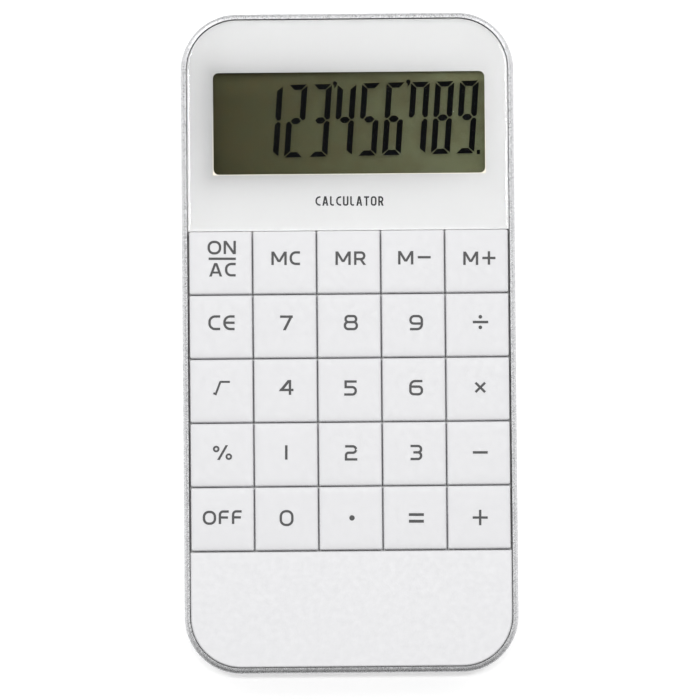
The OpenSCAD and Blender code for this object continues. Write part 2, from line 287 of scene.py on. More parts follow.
class M:
    """A small builder for a node material with one Principled shader."""

    def __init__(self, name, color=(0.8, 0.8, 0.8, 1), rough=0.4, metal=0.0, **sockets):
        self.mat = bpy.data.materials.new(name)
        self.mat.use_nodes = True
        self.nt = self.mat.node_tree
        self.b = self.nt.nodes["Principled BSDF"]
        self.b.inputs["Base Color"].default_value = color
        self.b.inputs["Roughness"].default_value = rough
        self.b.inputs["Metallic"].default_value = metal
        for k, v in sockets.items():
            self.b.inputs[k.replace("_", " ")].default_value = v
        self.tc = self.nt.nodes.new("ShaderNodeTexCoord")

    def n(self, kind, **kw):
        nd = self.nt.nodes.new(kind)
        for k, v in kw.items():
            setattr(nd, k, v)
        return nd

    def link(self, a, b):
        self.nt.links.new(a, b)

    def mapped(self, scale=(1, 1, 1), rot=(0, 0, 0), loc=(0, 0, 0)):
        mp = self.n("ShaderNodeMapping")
        mp.inputs["Scale"].default_value = scale
        mp.inputs["Rotation"].default_value = rot
        mp.inputs["Location"].default_value = loc
        self.link(self.tc.outputs["Object"], mp.inputs["Vector"])
        return mp.outputs["Vector"]

    def noise(self, scale, detail=3.0, rough=0.55, vec=None, distort=0.0):
        nd = self.n("ShaderNodeTexNoise")
        nd.inputs["Scale"].default_value = scale
        nd.inputs["Detail"].default_value = detail
        nd.inputs["Roughness"].default_value = rough
        nd.inputs["Distortion"].default_value = distort
        self.link(vec if vec is not None else self.tc.outputs["Object"], nd.inputs["Vector"])
        return nd.outputs["Fac"]

    def voronoi(self, scale, vec=None, feature="F1", out="Distance"):
        nd = self.n("ShaderNodeTexVoronoi", feature=feature)
        nd.inputs["Scale"].default_value = scale
        self.link(vec if vec is not None else self.tc.outputs["Object"], nd.inputs["Vector"])
        return nd.outputs[out]

    def wave(self, scale, vec=None, kind="BANDS", direction="X", distort=0.0, detail=2.0):
        nd = self.n("ShaderNodeTexWave", wave_type=kind)
        if kind == "BANDS":
            nd.bands_direction = direction
        else:
            nd.rings_direction = direction
        nd.inputs["Scale"].default_value = scale
        nd.inputs["Distortion"].default_value = distort
        nd.inputs["Detail"].default_value = detail
        self.link(vec if vec is not None else self.tc.outputs["Object"], nd.inputs["Vector"])
        return nd.outputs["Fac"]

    def ramp(self, fac, stops, interp="LINEAR"):
        nd = self.n("ShaderNodeValToRGB")
        nd.color_ramp.interpolation = interp
        els = nd.color_ramp.elements
        while len(els) < len(stops):
            els.new(0.5)
        for e, (p, c) in zip(els, stops):
            e.position = p
            e.color = c if isinstance(c, tuple) else (c, c, c, 1)
        self.link(fac, nd.inputs["Fac"])
        return nd.outputs["Color"]

    def rng(self, fac, a, b, lo, hi):
        nd = self.n("ShaderNodeMapRange")
        nd.inputs["From Min"].default_value = a
        nd.inputs["From Max"].default_value = b
        nd.inputs["To Min"].default_value = lo
        nd.inputs["To Max"].default_value = hi
        self.link(fac, nd.inputs["Value"])
        return nd.outputs["Result"]

    def math(self, op, a, b):
        nd = self.n("ShaderNodeMath", operation=op)
        for i, v in enumerate((a, b)):
            if isinstance(v, (int, float)):
                nd.inputs[i].default_value = v
            else:
                self.link(v, nd.inputs[i])
        return nd.outputs["Value"]

    def mix(self, fac, a, b, blend="MIX"):
        nd = self.n("ShaderNodeMix", data_type="RGBA", blend_type=blend)
        for sock, v in ((nd.inputs[0], fac), (nd.inputs[6], a), (nd.inputs[7], b)):
            if isinstance(v, (int, float)):
                sock.default_value = v
            elif isinstance(v, tuple):
                sock.default_value = v
            else:
                self.link(v, sock)
        return nd.outputs[2]

    def axis(self, name):
        nd = self.n("ShaderNodeSeparateXYZ")
        self.link(self.tc.outputs["Object"], nd.inputs[0])
        return nd.outputs[name]

    def color(self, sock):
        self.link(sock, self.b.inputs["Base Color"])

    def rough(self, sock):
        self.link(sock, self.b.inputs["Roughness"])

    def bump(self, height, dist, strength=1.0, normal=None):
        nd = self.n("ShaderNodeBump")
        nd.inputs["Strength"].default_value = strength
        nd.inputs["Distance"].default_value = dist
        self.link(height, nd.inputs["Height"])
        if normal is not None:
            self.link(normal, nd.inputs["Normal"])
        self.link(nd.outputs["Normal"], self.b.inputs["Normal"])
        return nd.outputs["Normal"]


def moulded(name, col, col2, rough, spread=0.06, grain=9000, depth=2e-6, cloud=45, **kw):
    """Injection-moulded plastic: faint flow clouds, fine tool texture, uneven gloss."""
    m = M(name, col, rough, **kw)
    m.color(m.mix(m.rng(m.noise(cloud, 4), 0.35, 0.65, 0, 1), col, col2))
    m.rough(m.rng(m.noise(900, 3), 0.3, 0.7, rough - spread, rough + spread))
    m.bump(m.noise(grain, 2, 0.6), depth, 0.6)
    return m.mat


mat_key = moulded("key_white", (0.758, 0.758, 0.772, 1), (0.767, 0.767, 0.78, 1), 0.40, 0.04, 7000, 0.5e-6, 60)
kb = next(nd for nd in mat_key.node_tree.nodes if nd.type == "BSDF_PRINCIPLED")          # light seeps through the edges of the caps
kb.inputs["Subsurface Weight"].default_value = 0.35
kb.inputs["Subsurface Radius"].default_value = (1.0, 1.0, 1.0)
kb.inputs["Subsurface Scale"].default_value = 0.0005
mat_panel = moulded("white_panel", (0.738, 0.738, 0.753, 1), (0.744, 0.744, 0.758, 1), 0.36, 0.04, 3500, 0.3e-6, 40)
mat_shell = moulded("white_shell", (0.74, 0.74, 0.75, 1), (0.77, 0.77, 0.775, 1), 0.42, 0.07, 5200, 7e-6, 35)
# dark plastic of the display holder; on the bezel's inner wall the same dark colour is painted shade in the gap
mat_dark_and_gap_shade = moulded("dark_plastic", (0.022, 0.022, 0.024, 1), (0.032, 0.032, 0.034, 1), 0.55, 0.08, 6000, 5e-6, 60)
mat_chassis = moulded("light_plastic", (0.84, 0.84, 0.845, 1), (0.87, 0.87, 0.875, 1), 0.5, 0.08, 6000, 5e-6, 60)

# metallic silver paint: flakes lie at slightly different angles under a clear coat
mp = M("silver_paint", (0.56, 0.565, 0.575, 1), 0.38, 0.85)
cell = mp.n("ShaderNodeTexVoronoi", feature="F1")
cell.inputs["Scale"].default_value = 6000
mp.link(mp.tc.outputs["Object"], cell.inputs["Vector"])
flake = mp.n("ShaderNodeSeparateColor")
mp.link(cell.outputs["Color"], flake.inputs[0])
mp.color(mp.mix(mp.rng(flake.outputs[0], 0, 1, 0, 1), (0.50, 0.505, 0.515, 1), (0.78, 0.78, 0.79, 1)))
mp.rough(mp.rng(flake.outputs[1], 0, 1, 0.24, 0.42))
mp.bump(flake.outputs[2], 7e-6, 0.5)
mat_silver = mp.mat

# clear acrylic
def clear(name, tint, rough, ior):
    m = M(name, tint, rough, 0.0, IOR=ior)
    m.b.inputs["Transmission Weight"].default_value = 1.0
    out = m.nt.nodes["Material Output"]
    lp = m.n("ShaderNodeLightPath")
    tr = m.n("ShaderNodeBsdfTransparent")
    tr.inputs["Color"].default_value = tint

    def either(fac, a_, b_):
        mx = m.n("ShaderNodeMixShader")
        if isinstance(fac, float):
            mx.inputs[0].default_value = fac
        else:
            m.link(fac, mx.inputs[0])
        m.link(a_, mx.inputs[1])
        m.link(b_, mx.inputs[2])
        return mx.outputs[0]

    soft = either(lp.outputs["Is Diffuse Ray"], m.b.outputs[0], either(0.6, m.b.outputs[0], tr.outputs[0]))
    m.link(either(lp.outputs["Is Shadow Ray"], soft, tr.outputs[0]), out.inputs["Surface"])
    m.bump(m.noise(120, 3), 2e-6, 0.3)
    return m.mat


mat_lens = clear("clear_acrylic", (0.988, 0.99, 0.99, 1), 0.015, 1.49)

# white print behind the lens, with light and shade painted into its colour: a soft ring of painted shade around the
# dark window, deeper towards the left, painted shade on the left side beside the window, tone ramps across the sheet,
# and a painted cream highlight along the window's lower edge
mf = M("white_film", (0.68, 0.68, 0.69, 1), 0.45, 0.0, Specular_IOR_Level=0.0)
WX, WY, WHX, WHY = 0.00028, 0.03899, 0.0241, 0.00905       # window middle and half sizes, in metres


def beyond(axis, mid, half):
    return mf.math("MAXIMUM", mf.math("SUBTRACT", mf.math("ABSOLUTE", mf.math("SUBTRACT", mf.axis(axis), mid), 0.0), half), 0.0)


ex, ey = beyond("X", WX, WHX), beyond("Y", WY, WHY)
away = mf.math("SQRT", mf.math("ADD", mf.math("MULTIPLY", ex, ex), mf.math("MULTIPLY", ey, ey)), 0.0)
fall = mf.math("POWER", 2.71828, mf.math("MULTIPLY", away, -1.0 / 0.0024))
gx = mf.rng(mf.axis("X"), -0.028, 0.028, 0, 1)
gy = mf.rng(mf.axis("Y"), 0.0195, 0.0585, 0, 1)
# painted shade: how strongly the ring of shade around the window darkens the print, most at the left end
depth = mf.ramp(gx, [(0.0, 0.36), (0.3, 0.36), (0.5, 0.30), (0.75, 0.24), (0.92, 0.12), (1.0, 0.08)])
painted_window_shade = mf.math("SUBTRACT", 1.0, mf.math("MULTIPLY", fall, depth))
# painted shade on the left side of the print beside the window
painted_flank_shade = mf.math("MULTIPLY", mf.rng(mf.axis("X"), -0.019, -0.0245, 0.0, 0.09), mf.math("POWER", 2.71828, mf.math("MULTIPLY", mf.math("POWER", mf.math("ABSOLUTE", mf.math("SUBTRACT", mf.axis("Y"), 0.0415), 0.0), 2.0), -11000.0)))
painted_window_shade = mf.math("MULTIPLY", painted_window_shade, mf.math("SUBTRACT", 1.0, painted_flank_shade))
# the print's own white, with painted shade: darker towards the left and towards the lower end
film_white_and_painted_shade = mf.ramp(gx, [(0.0, 0.683), (0.12, 0.695), (0.5, 0.698), (0.9, 0.70), (1.0, 0.708)])
film_white_and_painted_shade = mf.mix(1.0, film_white_and_painted_shade, mf.ramp(gy, [(0.0, 0.965), (0.15, 0.98), (0.5, 0.97), (0.9, 0.985), (1.0, 1.01)]), "MULTIPLY")
film_white_and_painted_shade = mf.mix(1.0, film_white_and_painted_shade, painted_window_shade, "MULTIPLY")
# painted highlight: a cream line hugging the window's edge, strongest along its lower edge
painted_edge_highlight = mf.math("MULTIPLY", mf.rng(away, 0.00004, 0.00017, 1, 0), mf.rng(mf.axis("Y"), WY - 0.004, WY + 0.004, 0.85, 0.1))
film_white_and_painted_shade = mf.mix(painted_edge_highlight, film_white_and_painted_shade, (0.92, 0.86, 0.72, 1))
mf.color(mf.mix(mf.rng(mf.noise(2500, 3), 0.3, 0.7, 0.0, 0.04), film_white_and_painted_shade, (0.6, 0.6, 0.61, 1)))
mf.bump(mf.noise(5000, 2), 1e-6, 0.3)
mat_film = mf.mat

# display stack
mr = M("lcd_reflector", srgb(84, 84, 62), 0.5, 0.0, Specular_IOR_Level=0.0)
gx = mr.rng(mr.axis("X"), -0.0245, 0.0245, 0, 1)
# painted shade: the reflector's colour darkens towards the left end and lightens towards the right
col = mr.ramp(gx, [(0.0, srgb(80, 79, 54)), (0.45, srgb(113, 115, 85)), (0.8, srgb(137, 141, 108)), (1.0, srgb(147, 153, 116))])
col = mr.mix(mr.rng(mr.noise(330, 4, 0.6), 0.40, 0.66, 0, 0.36), col, srgb(110, 96, 66))
painted_lift_broad = mr.math("MULTIPLY", mr.rng(mr.axis("Y"), WY + WHY - 0.0046, WY + WHY - 0.0012, 0, 1), mr.ramp(gx, [(0.0, 0.5), (0.15, 0.32), (0.3, 0.16), (0.6, 0.1), (1.0, 0.0)]))
painted_lift_narrow = mr.math("MULTIPLY", mr.rng(mr.axis("Y"), WY + WHY - 0.0023, WY + WHY - 0.0009, 0, 1), mr.ramp(gx, [(0.0, 0.0), (0.55, 0.05), (0.75, 0.3), (0.88, 0.7), (1.0, 1.0)]))
col = mr.mix(1.0, col, mr.math("ADD", mr.math("ADD", painted_lift_broad, painted_lift_narrow), 1.0), "MULTIPLY")      # painted light: lighter along the upper edge, lifting the shade cast by the window's rim, a broad band at the left end and a narrow one at the right
mr.color(mr.mix(mr.rng(mr.noise(5200, 2, 0.6), 0.35, 0.65, 0, 0.2), col, srgb(66, 64, 44)))
mr.rough(mr.rng(mr.noise(4000, 2), 0.3, 0.7, 0.42, 0.6))
mr.bump(mr.noise(9000, 2), 1e-6, 0.5)
mat_reflector = mr.mat

mpz = M("polariser", (0.010, 0.010, 0.007, 1), 0.3, 0.0, Alpha=0.12, Specular_IOR_Level=0.0)
mpz.rough(mpz.rng(mpz.noise(5000, 2), 0.3, 0.7, 0.26, 0.4))
mpz.color(mpz.mix(mpz.rng(mpz.noise(300, 3), 0.3, 0.7, 0, 1), (0.007, 0.007, 0.005, 1), (0.010, 0.010, 0.007, 1)))
mat_polariser = mpz.mat

mgl = M("lcd_glass", (0.02, 0.026, 0.022, 1), 0.04, 0.0, Alpha=0.03, Specular_IOR_Level=0.1)
mgl.color(mgl.mix(mgl.rng(mgl.noise(90, 3), 0.3, 0.7, 0, 1), (0.008, 0.010, 0.009, 1), (0.011, 0.013, 0.012, 1)))
mat_glass = mgl.mat

ms = M("lcd_ink", (0.006, 0.0062, 0.008, 1), 0.5, 0.0, Specular_IOR_Level=0.0)
ms.color(ms.mix(ms.rng(ms.noise(1500, 3), 0.3, 0.7, 0, 1), (0.0012, 0.0016, 0.003, 1), (0.003, 0.0035, 0.006, 1)))
mat_segment = ms.mat

ml = M("legend_ink", srgb(64, 64, 65), 0.5)
ml.color(ml.mix(ml.rng(ml.noise(2600, 4), 0.3, 0.7, 0, 1), srgb(58, 58, 60), srgb(70, 70, 71)))
ml.bump(ml.noise(8000, 2), 1.5e-6, 0.5)
mat_ink = ml.mat

ml2 = M("print_ink", srgb(62, 62, 64), 0.5, 0.0, Specular_IOR_Level=0.0)
ml2.color(ml2.mix(ml2.rng(ml2.noise(2600, 4), 0.3, 0.7, 0, 1), srgb(56, 56, 58), srgb(68, 68, 69)))
mat_print = ml2.mat

# internals
mb = M("board_green", (0.02, 0.11, 0.045, 1), 0.32)
traces = mb.ramp(mb.voronoi(420, feature="DISTANCE_TO_EDGE"), [(0.0, 1.0), (0.035, 1.0), (0.06, 0.0)], "LINEAR")
mb.color(mb.mix(mb.math("MULTIPLY", traces, mb.rng(mb.noise(120, 2), 0.45, 0.55, 0, 0.8)), (0.015, 0.1, 0.04, 1), (0.06, 0.22, 0.09, 1)))
mb.rough(mb.rng(mb.noise(1200, 3), 0.3, 0.7, 0.25, 0.42))
mb.bump(traces, 1.5e-5, 0.4)
mat_board = mb.mat


def brushed(name, col, col2, rough, scale=(60, 5200, 60), rot=(0, 0, 0), depth=1.5e-6):
    m = M(name, col, rough, 1.0)
    v = m.mapped(scale, rot)
    s = m.noise(1.0, 4, 0.6, v)
    m.color(m.mix(m.rng(s, 0.3, 0.7, 0, 1), col, col2))
    m.rough(m.rng(s, 0.25, 0.75, rough - 0.08, rough + 0.1))
    m.bump(s, depth, 0.5)
    return m.mat


mat_screw = brushed("screw_steel", (0.52, 0.52, 0.53, 1), (0.62, 0.62, 0.63, 1), 0.3, (5200, 5200, 300))
mat_contact = brushed("contact_spring", (0.62, 0.59, 0.5, 1), (0.72, 0.7, 0.62, 1), 0.3)
mc = M("cell_steel", (0.68, 0.68, 0.67, 1), 0.28, 1.0)
v = mc.mapped((1, 1, 1), (0, 0, 0), (0, 0.047, 0))
rings = mc.wave(2600, v, "RINGS", "Z", 1.5, 2)
mc.color(mc.mix(rings, (0.6, 0.6, 0.59, 1), (0.74, 0.74, 0.73, 1)))
mc.rough(mc.rng(rings, 0, 1, 0.22, 0.36))
mc.bump(rings, 2e-6, 0.4)
mat_cell = mc.mat

msi = M("silicone", (0.62, 0.635, 0.645, 1), 0.5)
msi.b.inputs["Subsurface Weight"].default_value = 0.15
msi.b.inputs["Subsurface Scale"].default_value = 0.001
msi.color(msi.mix(msi.rng(msi.noise(180, 4), 0.3, 0.7, 0, 1), (0.58, 0.595, 0.605, 1), (0.66, 0.67, 0.68, 1)))
msi.rough(msi.rng(msi.noise(1500, 3), 0.3, 0.7, 0.42, 0.6))
msi.bump(msi.noise(6000, 2), 3e-6, 0.5)
mat_silicone = msi.mat

mat_pill = moulded("carbon_rubber", (0.012, 0.012, 0.012, 1), (0.022, 0.022, 0.022, 1), 0.62, 0.08, 7000, 5e-6, 200)

mfo = M("foam", (0.035, 0.035, 0.037, 1), 0.9)
cells = mfo.voronoi(2600)
mfo.color(mfo.mix(cells, (0.02, 0.02, 0.022, 1), (0.07, 0.07, 0.073, 1)))
mfo.bump(cells, 9e-5, 0.8)
mat_foam = mfo.mat

mz = M("zebra_rubber", (0.5, 0.22, 0.24, 1), 0.45)
st = mz.ramp(mz.wave(1700, None, "BANDS", "X"), [(0.0, 0.0), (0.45, 0.0), (0.55, 1.0), (1.0, 1.0)])
mz.color(mz.mix(st, (0.02, 0.018, 0.018, 1), (0.55, 0.25, 0.27, 1)))
mz.bump(st, 4e-6, 0.5)
mat_zebra = mz.mat

mep = M("epoxy_black", (0.008, 0.008, 0.009, 1), 0.18)
mep.color(mep.mix(mep.rng(mep.noise(500, 3), 0.3, 0.7, 0, 1), (0.006, 0.006, 0.007, 1), (0.014, 0.014, 0.015, 1)))
mep.rough(mep.rng(mep.noise(700, 3), 0.3, 0.7, 0.12, 0.3))
mep.bump(mep.noise(900, 3), 1.2e-5, 0.5)
mat_epoxy = mep.mat

mch = M("ceramic_chip", (0.3, 0.2, 0.12, 1), 0.4)
mch.color(mch.mix(mch.rng(mch.noise(1400, 3), 0.4, 0.6, 0, 1), (0.22, 0.15, 0.09, 1), (0.45, 0.4, 0.34, 1)))
mch.rough(mch.rng(mch.noise(1400, 3), 0.4, 0.6, 0.25, 0.5))
mat_chip = mch.mat

mta = M("tape", (0.62, 0.58, 0.44, 1), 0.35)
mta.color(mta.mix(mta.rng(mta.noise(300, 5), 0.3, 0.7, 0, 1), (0.58, 0.54, 0.4, 1), (0.68, 0.65, 0.52, 1)))
mta.bump(mta.noise(1400, 3), 8e-6, 0.5)
mat_tape = mta.mat

KEEP = {
    "rear_cover": mat_shell, "front_chassis": mat_chassis, "lower_panel_tape": mat_tape, "lcd_holder": mat_dark_and_gap_shade,
    "lcd_foam_pad": mat_foam, "zebra_strip": mat_zebra,
    "circuit_board": mat_board, "chip_blob": mat_epoxy, "surface_mount_parts": mat_chip, "board_screws": mat_screw,
    "case_screws": mat_screw, "battery_cap": mat_shell, "button_cell": mat_cell,
    "battery_contact_positive": mat_contact, "battery_contact_negative": mat_contact, "lens_mask": mat_film,
    "lcd_reflector": mat_reflector,
}
for node, mat in KEEP.items():
    o = NODES[node]
    o.data.materials.clear()
    o.data.materials.append(mat)

# ------------------------------------------------------------------ bezel: one swept, rounded section

lo, hi = box_mm("bezel_frame")
W2, L2, ZT, ZP = hi[0], hi[1], hi[2], lo[2]
CR = 10.0
FACE = 0.95
sec = []                                  # (inset, z), counter-clockwise from the outer foot
sec += [(0.2, ZP), (0.03, ZP + 0.17), (0.0, ZP + 0.26)]
sec += [(0.0, ZT - 1.1)]
sec += [(0.0, ZT - 0.50), (0.012, ZT - 0.445), (0.05, ZT - 0.39)]           # side, then a soft edge
sec += [(0.34, ZT - 0.15), (0.40, ZT - 0.11), (0.47, ZT - 0.08)]            # bevel, then a soft edge
sec += [(0.64, ZT - 0.045), (0.83, ZT - 0.008), (0.87, ZT), (0.912, ZT - 0.010), (0.95, ZT - 0.06)]
sec += [(FACE, 5.5), (FACE + 1.3, 5.5), (FACE + 1.3, 4.5), (FACE, 4.5), (FACE, ZP)]
bm = bmesh.new()
loops = []
for d, z in sec:
    loops.append([(x, y, z) for x, y in corner_loop(-W2, W2, -L2, L2, [CR] * 4, d, 28)])
add_loops(bm, loops, closed=True)
mouth = sec.index((0.95, ZT - 0.06))
for i, f in enumerate(bm.faces):          # the paint covers the outside; the wall inside the mouth gets the dark material, painted shade that darkens the gap between bezel and keys
    f.material_index = 1 if mouth <= i // len(loops[0]) < len(sec) - 1 else 0
bezel = new_object("bezel_ring", finish_mesh("bezel_ring", bm, [mat_silver, mat_dark_and_gap_shade], 24), "root", ["bezel_frame"])


# ------------------------------------------------------------------ panels

def plate(name, x0, x1, y0, y1, z0, z1, radii, edge, mat, node, n=16, crown=0.0):
    prof = [(0.05, z0), (0.0, z0 + 0.05)]
    for k in range(0, 6):
        a = math.radians(90.0 * k / 5)
        prof.append((edge * (1 - math.cos(a)), z1 - crown - edge + edge * math.sin(a)))
    prof += [(edge + 0.05, z1 - crown), (edge + 0.1, z1 - crown)]     # level strips keep the face flat-shaded
    b = bmesh.new()
    add_loops(b, [[(x, y, z) for x, y in corner_loop(x0, x1, y0, y1, radii, d, n)] for d, z in prof])
    return new_object(name, finish_mesh(name, b, [mat], 30), "root", [node])


lo, hi = box_mm("display_lens")
pr = CR - FACE - 0.18
plate("clear_display_lens", lo[0], hi[0], lo[1], hi[1], lo[2] + 0.02, hi[2], [0.25, 0.25, pr, pr], 0.28, mat_lens, "display_lens", 20)
lo, hi = box_mm("lower_panel")
plate("lower_panel_cover", lo[0], hi[0], lo[1], hi[1], lo[2], hi[2], [pr, pr, 0.25, 0.25], 0.22, mat_panel, "lower_panel", 20)

# display films and glass, each a hair thinner than its space
for node, name, mat, slot in (("lcd_front_polariser", "display_polariser", mat_polariser, "polariser"),
                              ("lcd_upper_glass", "display_glass_upper", mat_glass, "lcd_glass"),
                              ("lcd_lower_glass", "display_glass_lower", mat_glass, "lcd_glass")):
    lo, hi = box_mm(node)
    b = bmesh.new()
    c = 0.04 if "glass" in node else 0.02
    prof = [(c, lo[2] + 0.012), (0, lo[2] + 0.012 + c), (0, hi[2] - 0.012 - c), (c, hi[2] - 0.012)]
    add_loops(b, [[(x, y, z) for x, y in corner_loop(lo[0], hi[0], lo[1], hi[1], [0.3] * 4, d, 4)] for d, z in prof])
    new_object(name, finish_mesh(name, b, [mat], 30), "root", [node])

# ------------------------------------------------------------------ display digits

glo, ghi = box_mm("lcd_lower_glass")
SEG_Z0, SEG_Z1 = ghi[2] - 0.01, ghi[2] + 0.01
A, B, TV, TH, TM, G = 1.67, 6.46, 1.02, 0.92, 1.10, 0.12      # half width, half height, stroke widths, half gap


def seg_polys(which):
    """Segments of one digit about its own middle, upright: a top, b and c right, d foot, e and f left, g middle."""
    a, b, t, h, g = A, B, TV, TH, G
    P = {}
    P["a"] = [(-a + g * 1.5, b), (a - g * 1.5, b), (a - t - g * 0.2, b - h), (-a + t + g * 0.2, b - h)]
    up = [(-a, b - g * 2.0), (-a + t, b - h - g * 1.2), (-a + t, TM * 0.5 + g * 1.2), (-a + t * 0.6, g * 1.2), (-a + t * 0.3, g * 1.2), (-a, t * 0.4)]
    P["f"] = up
    P["e"] = [(x, -y) for x, y in up]
    P["b"] = [(-x, y) for x, y in up]
    P["c"] = [(-x, -y) for x, y in up]
    P["d"] = [(x, -y) for x, y in P["a"]]
    P["g"] = [(-a + t * 0.62 + g, 0), (-a + t + g * 1.1, TM * 0.4), (-a + t + g * 2.6, TM / 2), (a - t - g * 2.6, TM / 2), (a - t - g * 1.1, TM * 0.4),
              (a - t * 0.62 - g, 0), (a - t - g * 1.1, -TM * 0.4), (a - t - g * 2.6, -TM / 2), (-a + t + g * 2.6, -TM / 2), (-a + t + g * 1.1, -TM * 0.4)]
    return [P[s] for s in which]


SHEAR = math.tan(math.radians(5.15))
LIT = {"1": "bc", "2": "abged", "3": "abgcd", "4": "fgbc", "5": "afgcd", "6": "afgedc", "7": "abcf", "8": "abcdefg", "9": "abcdfg"}
DX0, PITCH, DY0 = 21.29, 4.35, 39.69
TILT = math.radians(0.85)
polys = []
for i, ch in enumerate("123456789"):
    cx = DX0 - PITCH * (8 - i)
    for q in seg_polys(LIT[ch]):
        polys.append([(cx + x + y * SHEAR, y) for x, y in q])
for i in (2, 5):                                   # thousands marks
    cx = DX0 - PITCH * (8 - i) + PITCH / 2 + 0.58
    polys.append([tuple(v) for v in disc(cx, B + 0.1, 0.38, 20)])
    polys.append([(cx - 0.12, B + 0.05), (cx + 0.38, B + 0.1), (cx + 0.22, B - 0.42), (cx - 0.18, B - 0.82)])
px = DX0 + PITCH / 2 - 0.32
polys.append([(px - 0.28, -B - 0.2), (px + 0.28, -B - 0.2), (px + 0.28, -B + 0.58), (px - 0.28, -B + 0.58)])
rot = []
ca, sa = math.cos(TILT), math.sin(TILT)
for q in polys:
    rot.append([(x * ca - y * sa, DY0 + x * sa + y * ca) for x, y in q])
bm = bmesh.new()
artwork_bm(bm, rot, SEG_Z0, SEG_Z1)
new_object("display_segments", finish_mesh("display_segments", bm, [mat_segment], None), "root")

# ------------------------------------------------------------------ key caps

KEYS = ["key_on_ac", "key_mc", "key_mr", "key_m_minus", "key_m_plus", "key_ce", "key_7", "key_8", "key_9", "key_divide",
        "key_sqrt", "key_4", "key_5", "key_6", "key_multiply", "key_percent", "key_1", "key_2", "key_3", "key_minus",
        "key_off", "key_0", "key_point", "key_equals", "key_plus"]
CAP_DROP = 0.02                           # the crown stops this far below the box so that the printed legend fits in it


def cap_mesh(x0, x1, y0, y1, ztop, grow):
    """A cap about its own middle: crowned rounded top, hollow underside, guide post and two hooks."""
    zt = ztop - CAP_DROP
    zb = 7.1
    f = 0.17
    st = 0.085                            # the skirt stands this far out below a step in the side; grow says on which sides
    prof = [(0.07, zb, st), (0.02, zb + 0.06, st), (0.0, zb + 0.16, st), (0.0, 8.12, st), (0.01, 8.16, st * 0.8), (0.0, 8.2, 0.0), (0.015, zt - 0.05 - f, 0.0)]
    for k in range(1, 7):
        a = math.radians(84.0 * k / 6)
        prof.append((0.015 + f * (1 - math.cos(a)), zt - 0.05 - f + f * math.sin(a), 0.0))
    prof += [(0.45, zt - 0.030, 0.0), (0.75, zt - 0.015, 0.0), (1.15, zt - 0.004, 0.0), (1.7, zt, 0.0)]
    r = 0.3
    cap = bmesh.new()
    outer = [[(x, y, z) for x, y in corner_loop(x0 - e * grow[0], x1 + e * grow[1], y0 - e * grow[2], y1 + e * grow[3], [r] * 4, d, 6)] for d, z, e in prof]
    inner = []
    for d, z in ((0.80, ztop - 1.1), (0.80, zb + 0.05), (0.75, zb)):
        inner.append([(x, y, z) for x, y in corner_loop(x0, x1, y0, y1, [1.0] * 4, d, 6)])
    add_loops(cap, [inner[0], inner[1], inner[2]] + outer)
    base = bm_mesh(cap)
    tools = []
    top = ztop - 0.9
    t = bmesh.new(); box_bm(t, -2.4, 2.4, -2.4, 2.4, 5.02, top); tools.append(bm_mesh(t))
    t = bmesh.new(); box_bm(t, -1.1, 1.1, -3.6, 3.6, 5.25, top); tools.append(bm_mesh(t))
    for s in (-1, 1):
        t = bmesh.new()
        side = [(2.9, 4.95), (3.5, 4.95), (4.1, 5.2), (4.1, 5.42), (3.5, 5.42), (3.5, top), (2.9, top)]
        add_loops(t, [[(s * a, y, z) for a, z in side] for y in (-1.1, 1.1)])
        tools.append(bm_mesh(t))
    me = boolean(base, tools, "UNION")
    me.materials.clear()
    me.materials.append(mat_key)
    return me


CACHE = {}
key_mid = {}
klo0, khi0 = box_mm("key_on_ac")
klo1, khi1 = box_mm("key_7")
PITCHK = box_mm("key_8")[0][0] - box_mm("key_7")[0][0]
for idx, key in enumerate(KEYS):
    row, colm = divmod(idx, 5)
    lo, hi = box_mm(key)
    cx = (lo[0] + hi[0]) / 2
    cy = lo[1] + (khi1[1] - klo1[1]) / 2       # the middle of a full-height cap
    key_mid[key] = (cx, cy, hi[2])
    kind = (0.0 if colm == 0 else 1.0, 0.0 if colm == 4 else 1.0, 1.0, 0.5 if row == 0 else 1.0)      # no step beside the bezel
    if kind not in CACHE:
        CACHE[kind] = cap_mesh(lo[0] - cx, hi[0] - cx, lo[1] - cy, hi[1] - cy, hi[2], kind)
    me = CACHE[kind].copy()
    me.name = key + "_cap"
    me.transform(Matrix.Translation((cx * MM, cy * MM, 0)))
    me.polygons.foreach_set("use_smooth", [True] * len(me.polygons))
    me.set_sharp_from_angle(angle=math.radians(32))
    new_object(key + "_cap", me, key, [key])

# ------------------------------------------------------------------ keypad: a sheet, and for each key a dome and a carbon pill under the cap

mlo, mhi = box_mm("keypad_mat")
plo, phi = box_mm("contact_pills")
ZS = mlo[2] + 0.4                         # top of the flat sheet
line_y = key_mid["key_on_ac"][1] - PITCHK / 2


def ring_loops(cx, cy, prof, n=36):
    return [[(cx + r * math.cos(2 * math.pi * i / n), cy + r * math.sin(2 * math.pi * i / n), z) for i in range(n)] for r, z in prof]


b = bmesh.new()
add_loops(b, [[(x, y, z) for x, y in corner_loop(mlo[0], mhi[0], mlo[1], mhi[1], [0.6] * 4, d, 6)]
              for d, z in ((0.05, mlo[2]), (0.0, mlo[2] + 0.05), (0.0, ZS - 0.1), (0.03, ZS - 0.03), (0.1, ZS))])
tools = []
for key in KEYS:
    t = bmesh.new()
    add_loops(t, ring_loops(key_mid[key][0], key_mid[key][1], ((3.4625, mlo[2] - 0.1), (2.4875, ZS + 0.1)), 48))
    tools.append(bm_mesh(t))
for px, py in ((3, 0), (-3, 0), (1, -2), (-1, -2), (3, -3), (-3, -3)):
    t = bmesh.new()
    add_loops(t, ring_loops(px * PITCHK / 2, line_y + py * PITCHK, ((2.0, mlo[2] - 0.1), (2.0, ZS + 0.1))))
    tools.append(bm_mesh(t))
me = boolean(bm_mesh(b), tools, "DIFFERENCE")
me.materials.clear()
